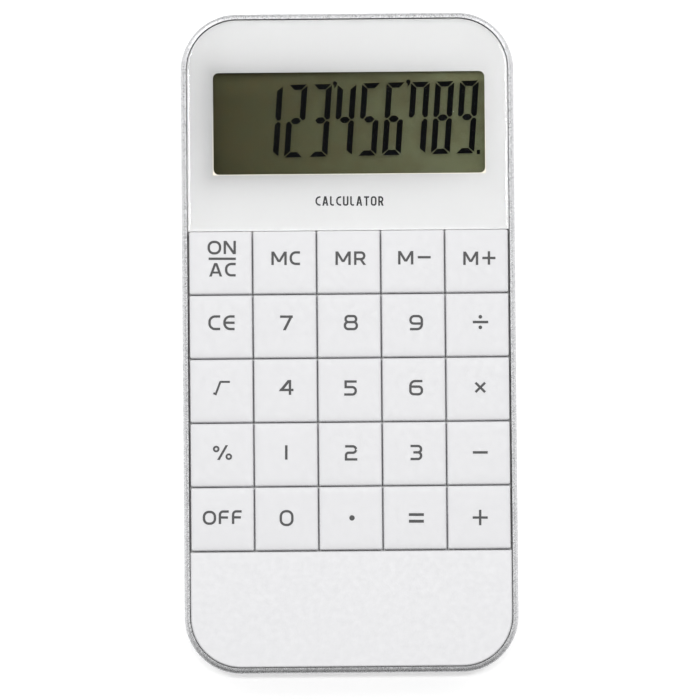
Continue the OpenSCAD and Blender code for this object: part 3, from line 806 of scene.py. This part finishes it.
me.materials.append(mat_silicone)
me.polygons.foreach_set("use_smooth", [True] * len(me.polygons))
me.set_sharp_from_angle(angle=math.radians(30))
new_object("keypad_sheet", me, "root", ["keypad_mat"])

DOME = [(0.05, phi[2]), (1.6, phi[2]), (1.72, phi[2] - 0.015), (2.0, 4.0), (2.65, ZS), (3.86, ZS), (3.86, ZS + 0.02), (3.6, ZS + 0.155),
        (2.66, ZS + 0.66), (2.5, ZS + 0.75), (2.44, ZS + 0.88), (2.235, mhi[2] - 0.08), (2.18, mhi[2] - 0.025), (2.08, mhi[2]), (0.05, mhi[2])]
PILL = [(0.05, plo[2]), (1.42, plo[2]), (1.49, plo[2] + 0.03), (1.5, plo[2] + 0.07), (1.5, phi[2] - 0.003), (0.05, phi[2] - 0.003)]
for key in KEYS:
    cx, cy, _ = key_mid[key]
    for name, prof, mat, slot, node in (("dome", DOME, mat_silicone, "silicone", "keypad_mat"), ("pill", PILL, mat_pill, "carbon_rubber", "contact_pills")):
        b = bmesh.new()
        add_loops(b, ring_loops(cx, cy, prof))
        ob = new_object(key + "_" + name, finish_mesh(key + "_" + name, b, [mat], 30), "root", [node])
        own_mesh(ob)

# ------------------------------------------------------------------ legends: plain strokes of even weight, each glyph drawn to fill a box

S = 0.42


def rect(x0, x1, y0, y1):
    return [(x0, y0), (x1, y0), (x1, y1), (x0, y1)]


def slant(xa, ya, xb, yb, s):
    """A sloping stroke cut level at both ends."""
    return [(xa - s / 2, ya), (xa + s / 2, ya), (xb + s / 2, yb), (xb - s / 2, yb)]


def glyph(ch, x0, x1, y0, y1, s=S):
    """Polygons of one plain letter, figure or sign whose strokes fill the box."""
    w, h = x1 - x0, y1 - y0
    a, b, c, d = x0 + s / 2, x1 - s / 2, y0 + s / 2, y1 - s / 2        # the box of the centre lines
    W, H = b - a, d - c
    ex, ey = s / 2 / max(W, 0.01), s / 2 / max(H, 0.01)                # carries an open end out to the edge of the box
    xm, ym = (x0 + x1) / 2, (y0 + y1) / 2
    P = []

    def path(pts, closed=False):
        P.extend(ribbon([(a + W * p[0], c + H * p[1]) + tuple(p[2:]) for p in pts], closed, s))

    if ch == "O":
        r = 0.44 * min(W, H)
        path([(0, 0, r), (1, 0, r), (1, 1, r), (0, 1, r)], True)
    elif ch == "0":
        r = 0.45 * min(W, H)
        path([(0, 0, r), (1, 0, r), (1, 1, r), (0, 1, r)], True)
    elif ch in "1":
        P.append(rect(x0, x1, y0, y1))
    elif ch == "-":
        P.append(rect(x0, x1, y0, y1))
    elif ch == "+":
        P.append(rect(x0, x1, ym - s / 2, ym + s / 2))
        P.append(rect(xm - s / 2, xm + s / 2, y0, y1))
    elif ch == "o":
        P.append(disc(xm, ym, (w + h) / 4))
    elif ch == "x":
        q = s * 0.36
        P.extend(ribbon([(x0 + q, y0 + q), (x1 - q, y1 - q)], False, s))
        P.extend(ribbon([(x0 + q, y1 - q), (x1 - q, y0 + q)], False, s))
    elif ch == "2":
        r = 0.26 * H
        path([(-ex * 0.7, 1), (1, 1, r), (1, .51, r), (0, .51, 0.2 * H), (0, 0), (0.5, 0)])
        P.append(rect(xm - 0.1, x1, y0, y0 + s))
    elif ch == "3":
        r = 0.24 * H
        path([(-ex * 0.8, 1), (1, 1, r), (1, .51, r), (.2, .51)])
        path([(.5, .51), (1, .51, r), (1, 0, r), (-ex * 0.8, 0)])
    elif ch == "4":
        yb = y0 + 0.33 * h
        xv = x0 + 0.76 * w
        P.append(rect(xv - s / 2, xv + s / 2, y0, y1))
        P.append(rect(x0 + s * 0.4, x1, yb - s / 2, yb + s / 2))
        P.append(slant(x0 + s * 0.72, yb - s / 2, xv + s / 2 - s * 0.72, y1, s * 1.44))
    elif ch == "5":
        path([(1 + ex * 0.8, 1), (.04, 1), (.04, .57), (1, .57, .27 * H), (1, 0, .27 * H), (-ex * 0.8, 0)])
    elif ch == "6":
        path([(.98 + ex * 0.6, 1), (0, 1, .42 * W), (0, 0, .3 * W), (1, 0, .3 * W), (1, .58, .28 * W), (.03, .58)])
    elif ch == "9":
        path([(.02 - ex * 0.6, 0), (1, 0, .42 * W), (1, 1, .34 * W), (0, 1, .34 * W), (0, .43, .28 * W), (.97, .43)])
    elif ch == "7":
        P.append(rect(x0, x1, y1 - s, y1))
        P.append(slant(x1 - s * 0.62, y1 - s * 0.3, x0 + 0.33 * w, y0, s * 1.2))
    elif ch == "8":
        path([(.06, .54, .21 * H), (.94, .54, .21 * H), (.94, 1, .21 * H), (.06, 1, .21 * H)], True)
        path([(0, 0, .25 * H), (1, 0, .25 * H), (1, .54, .25 * H), (0, .54, .25 * H)], True)
    elif ch == "A":
        q = s * 1.06
        P.append(slant(x0 + q / 2, y0, xm - q * 0.12, y1, q))
        P.append(slant(x1 - q / 2, y0, xm + q * 0.12, y1, q))
        P.append(rect(x0 + 0.2 * w, x1 - 0.2 * w, y0 + 0.22 * h, y0 + 0.22 * h + s * 0.85))
    elif ch == "C":
        r = 0.44 * H
        path([(1 + ex * 0.9, 1), (0, 1, r), (0, 0, r), (1 + ex * 0.9, 0)])
    elif ch == "E":
        r = 0.46 * H
        path([(1 + ex * 0.9, 1), (0, 1, r), (0, 0, r), (1 + ex * 0.9, 0)])
        path([(0, .5), (1 + ex * 0.9, .5)])
    elif ch == "F":
        path([(1.1, 1), (0, 1, .28 * H), (0, -.09)])
        path([(0, .48), (1.0, .48)])
    elif ch == "L":
        path([(0, 1.1), (0, 0, .2 * H), (1.12, 0)])
    elif ch == "M":
        q = s * 1.12
        P.append(rect(x0, x0 + s, y0, y1))
        P.append(rect(x1 - s, x1, y0, y1))
        P.append(slant(x0 + q / 2, y1, xm, y0 + 0.22 * h, q))
        P.append(slant(x1 - q / 2, y1, xm, y0 + 0.22 * h, q))
    elif ch == "N":
        q = s * 1.2
        P.append(rect(x0, x0 + s, y0, y1))
        P.append(rect(x1 - s, x1, y0, y1))
        P.append(slant(x0 + q / 2, y1, x1 - q / 2, y0, q))
    elif ch == "R":
        r = .28 * H
        P.append(rect(x0, x0 + s, y0, y1))
        path([(0, 1), (.94, 1, r), (.94, .42, r), (0, .42)])
        P.append(slant(x0 + 0.55 * w, c + .42 * H, x1 - s * 0.58, y0, s * 1.16))
    elif ch == "T":
        P.append(rect(x0, x1, y1 - s, y1))
        P.append(rect(xm - s / 2, xm + s / 2, y0, y1))
    elif ch == "U":
        path([(0, 1.1), (0, 0, .4 * W), (1, 0, .4 * W), (1, 1.1)])
    elif ch == "v":                                # root sign: a small tick, a long stroke and a level top
        t = s * 0.86
        P.extend(ribbon([(x0 + 0.1, y0 + 0.30), (x0 + 0.52, y0 + 0.13), (x0 + 1.32, y1 - t / 2, 0.1), (x1, y1 - t / 2)], False, t))
    elif ch == "%":
        t = s * 0.8
        r = 0.58 - t / 2
        for cx, cy in ((x0 + 0.58, y1 - 0.68), (x1 - 0.58, y0 + 0.62)):
            P.extend(ribbon([(cx + r * math.cos(2 * math.pi * i / 24), cy + r * math.sin(2 * math.pi * i / 24)) for i in range(24)], True, t))
        P.append(slant(xm - 0.72, y0 + 0.04, xm + 0.76, y1, s * 1.08))
    else:
        raise ValueError(ch)
    return P


# glyph boxes about the middle of each key, in mm: sign, left, right, foot, top
LEGENDS = {
    "key_on_ac": [("O", -2.28, 0.14, 1.32, 3.76), ("N", 0.57, 2.73, 1.39, 3.74), ("-", -2.09, 2.73, 0.35, 0.77), ("A", -1.98, 0.32, -2.59, -0.20), ("C", 0.81, 2.73, -2.58, -0.16)],
    "key_mc": [("M", -2.32, 0.39, -0.65, 1.74), ("C", 0.90, 2.76, -0.65, 1.80)],
    "key_mr": [("M", -2.32, 0.37, -0.73, 1.66), ("R", 0.97, 3.08, -0.73, 1.68)],
    "key_m_minus": [("M", -2.58, 0.11, -0.75, 1.64), ("-", 0.90, 3.19, 0.33, 0.75)],
    "key_m_plus": [("M", -2.39, 0.25, -0.93, 1.44), ("+", 0.99, 3.31, -0.88, 1.50)],
    "key_ce": [("C", -2.23, -0.11, -0.69, 1.95), ("E", 0.42, 2.44, -0.69, 1.95)],
    "key_7": [("7", -0.88, 1.38, -0.80, 1.82)],
    "key_8": [("8", -0.96, 1.56, -0.90, 1.82)],
    "key_9": [("9", -0.71, 1.72, -1.01, 1.72)],
    "key_divide": [("-", -0.81, 1.91, 0.14, 0.58), ("o", 0.20, 0.84, 0.97, 1.61), ("o", 0.20, 0.84, -0.90, -0.26)],
    "key_sqrt": [("v", -1.52, 1.50, -0.78, 1.70)],
    "key_4": [("4", -1.19, 1.40, -0.88, 1.75)],
    "key_5": [("5", -1.01, 1.27, -1.13, 1.59)],
    "key_6": [("6", -0.83, 1.63, -1.18, 1.57)],
    "key_multiply": [("x", -0.60, 1.40, -0.85, 1.13)],
    "key_percent": [("%", -1.59, 1.80, -0.97, 1.68)],
    "key_1": [("1", -0.19, 0.25, -0.97, 1.57)],
    "key_2": [("2", -0.97, 1.24, -1.24, 1.49)],
    "key_3": [("3", -0.74, 1.38, -1.27, 1.45)],
    "key_minus": [("-", -1.03, 1.61, -0.21, 0.23)],
    "key_off": [("O", -3.47, -1.11, -1.00, 1.49), ("F", -0.65, 1.19, -0.88, 1.56), ("F", 1.68, 3.47, -0.87, 1.59)],
    "key_0": [("0", -1.24, 1.22, -1.33, 1.52)],
    "key_point": [("o", -0.28, 0.69, -0.44, 0.50)],
    "key_equals": [("-", -1.10, 1.56, 0.27, 0.76), ("-", -1.08, 1.56, -0.92, -0.40)],
    "key_plus": [("+", -1.17, 1.49, -1.47, 1.26)],
}
ROW_LIFT = (0.17, 0.11, 0.10, 0.08, 0.03)          # the print creeps up the keys towards the display
PRINT_TURN = math.radians(-0.5)                    # the printed grid lies half a degree clockwise of the keys

for idx, key in enumerate(KEYS):
    cx, cy, ztop = key_mid[key]
    cy += ROW_LIFT[idx // 5]
    polys = []
    ca, sa = math.cos(PRINT_TURN), math.sin(PRINT_TURN)
    for ch, x0, x1, y0, y1 in LEGENDS[key]:
        for q in glyph(ch, x0, x1, y0, y1):
            polys.append([(cx + v[0] * ca - v[1] * sa, cy + v[0] * sa + v[1] * ca) for v in q])
    bm = bmesh.new()
    artwork_bm(bm, polys, ztop - CAP_DROP - 0.03, ztop)
    new_object(key + "_legend", finish_mesh(key + "_legend", bm, [mat_ink], None), key)

# ------------------------------------------------------------------ small printed word under the window, on the back print

flo, fhi = box_mm("lens_mask")
LABEL_X, LABEL_Y, LABEL_H, LABEL_S = 0.26, 25.10, 1.70, 0.29
wid = {"C": 0.92, "A": 1.06, "L": 0.78, "U": 0.98, "T": 0.92, "O": 1.02, "R": 0.96}
sp = 0.30
total = sum(wid[ch] for ch in "CALCULATOR") + sp * 9
px, polys = -total / 2, []
for ch in "CALCULATOR":
    polys += glyph(ch, px, px + wid[ch], -LABEL_H / 2, LABEL_H / 2, LABEL_S)
    px += wid[ch] + sp
polys = [[(LABEL_X + v[0] * ca - v[1] * sa, LABEL_Y + v[0] * sa + v[1] * ca) for v in q] for q in polys]
bm = bmesh.new()
artwork_bm(bm, polys, fhi[2] - 0.01, fhi[2] + 0.012)
new_object("lens_print", finish_mesh("lens_print", bm, [mat_print], None), "root")

# ------------------------------------------------------------------ floor, light, camera

ground = bmesh.new()
bmesh.ops.create_grid(ground, x_segments=2, y_segments=2, size=3.0)
gm = bpy.data.meshes.new("floor")
bmesh.ops.translate(ground, verts=ground.verts, vec=(0, 0, -0.00004))
ground.to_mesh(gm)
ground.free()
floor = bpy.data.objects.new("floor", gm)
bpy.context.scene.collection.objects.link(floor)
fl = M("studio_floor", (0.9, 0.9, 0.9, 1), 0.75)
fl.color(fl.mix(fl.rng(fl.noise(3, 3), 0.3, 0.7, 0, 1), (0.90, 0.90, 0.90, 1), (0.91, 0.91, 0.91, 1)))
fl.b.inputs["Emission Color"].default_value = (1, 1, 1, 1)
fl.b.inputs["Emission Strength"].default_value = 0.30
gm.materials.append(fl.mat)

sc = bpy.context.scene
sc.view_settings.view_transform = "Standard"
sc.view_settings.look = "None"
sc.cycles.transparent_max_bounces = 24
sc.cycles.max_bounces = 14
sc.cycles.diffuse_bounces = 9

# a soft room: brighter towards the display end, darker towards the near end
world = bpy.data.worlds.new("studio")
sc.world = world
world.use_nodes = True
nt = world.node_tree
bg = nt.nodes["Background"]
bg.inputs["Strength"].default_value = 1.0
tc = nt.nodes.new("ShaderNodeTexCoord")


def world_ramp(vec, stops):
    dot = nt.nodes.new("ShaderNodeVectorMath")
    dot.operation = "DOT_PRODUCT"
    dot.inputs[1].default_value = vec
    mr_ = nt.nodes.new("ShaderNodeMapRange")
    mr_.inputs["From Min"].default_value = -1.0
    mr_.inputs["From Max"].default_value = 1.0
    cr = nt.nodes.new("ShaderNodeValToRGB")
    els = cr.color_ramp.elements
    while len(els) < len(stops):
        els.new(0.5)
    for e_, (p, v) in zip(els, stops):
        e_.position = (p + 1) / 2
        e_.color = (v, v, v, 1)
    cr.color_ramp.interpolation = "EASE"
    nt.links.new(tc.outputs["Generated"], dot.inputs[0])
    nt.links.new(dot.outputs["Value"], mr_.inputs["Value"])
    nt.links.new(mr_.outputs["Result"], cr.inputs["Fac"])
    return cr.outputs["Color"]


along = world_ramp((0, 1, 0), [(-1.0, 0.12), (-0.5, 0.34), (0.0, 0.66), (0.45, 0.72), (0.8, 0.8), (1.0, 0.95)])
across = world_ramp((1, 0, 0), [(-1.0, 1.0), (-0.8, 0.8), (-0.45, 0.34), (0.0, 0.42), (0.45, 0.46), (0.8, 0.8), (1.0, 1.0)])
upward = world_ramp((0, 0, 1), [(-1.0, 1.0), (0.92, 1.0), (0.965, 0.6), (0.99, 0.02), (1.0, 0.02)])


def times(a_, b_):
    mul = nt.nodes.new("ShaderNodeMix")
    mul.data_type = "RGBA"
    mul.blend_type = "MULTIPLY"
    mul.inputs[0].default_value = 1.0
    nt.links.new(a_, mul.inputs[6])
    nt.links.new(b_, mul.inputs[7])
    return mul.outputs[2]


nt.links.new(times(times(along, across), upward), bg.inputs["Color"])
bg.inputs["Strength"].default_value = 1.78


def area(name, loc, size, power, target=(0, 0, 0)):
    li = bpy.data.lights.new(name, "AREA")
    li.shape = "RECTANGLE"
    li.size, li.size_y = size
    li.energy = power
    ob = bpy.data.objects.new(name, li)
    ob.location = loc
    ob.rotation_euler = (Vector(target) - Vector(loc)).to_track_quat("-Z", "Y").to_euler()
    sc.collection.objects.link(ob)
    return ob


area("key_light", (-0.5, 0.66, 1.05), (0.55, 0.55), 2.1)
area("fill_light", (0.5, 0.66, 1.05), (0.55, 0.55), 1.7)
for side in (-1, 1):
    area("top_light", (0.55 * side, 0.52, 6.0), (0.25, 0.53), 61.0)

cam_d = bpy.data.cameras.new("camera")
cam_d.lens = 300.0
cam_d.sensor_width = 36.0
cam_d.clip_start = 0.05
cam_d.clip_end = 20
cam = bpy.data.objects.new("camera", cam_d)
sc.collection.objects.link(cam)
lo, hi = cad_box
K = 5.651                                  # scale of the view: widths per millimetre in a 700 wide frame
front = hi[2]
dist = (700.0 / K) * MM * cam_d.lens / cam_d.sensor_width
CAM_TILT, CAM_ROLL = math.radians(2.5), math.radians(-0.5)
aim = Vector((0.11 * MM, -1.385 * MM, front))
back = Matrix.Rotation(CAM_ROLL, 3, "Z") @ Vector((0, -math.sin(CAM_TILT), math.cos(CAM_TILT)))
cam.location = aim + back * dist
cam.rotation_euler = (CAM_TILT, 0, CAM_ROLL)
sc.camera = cam
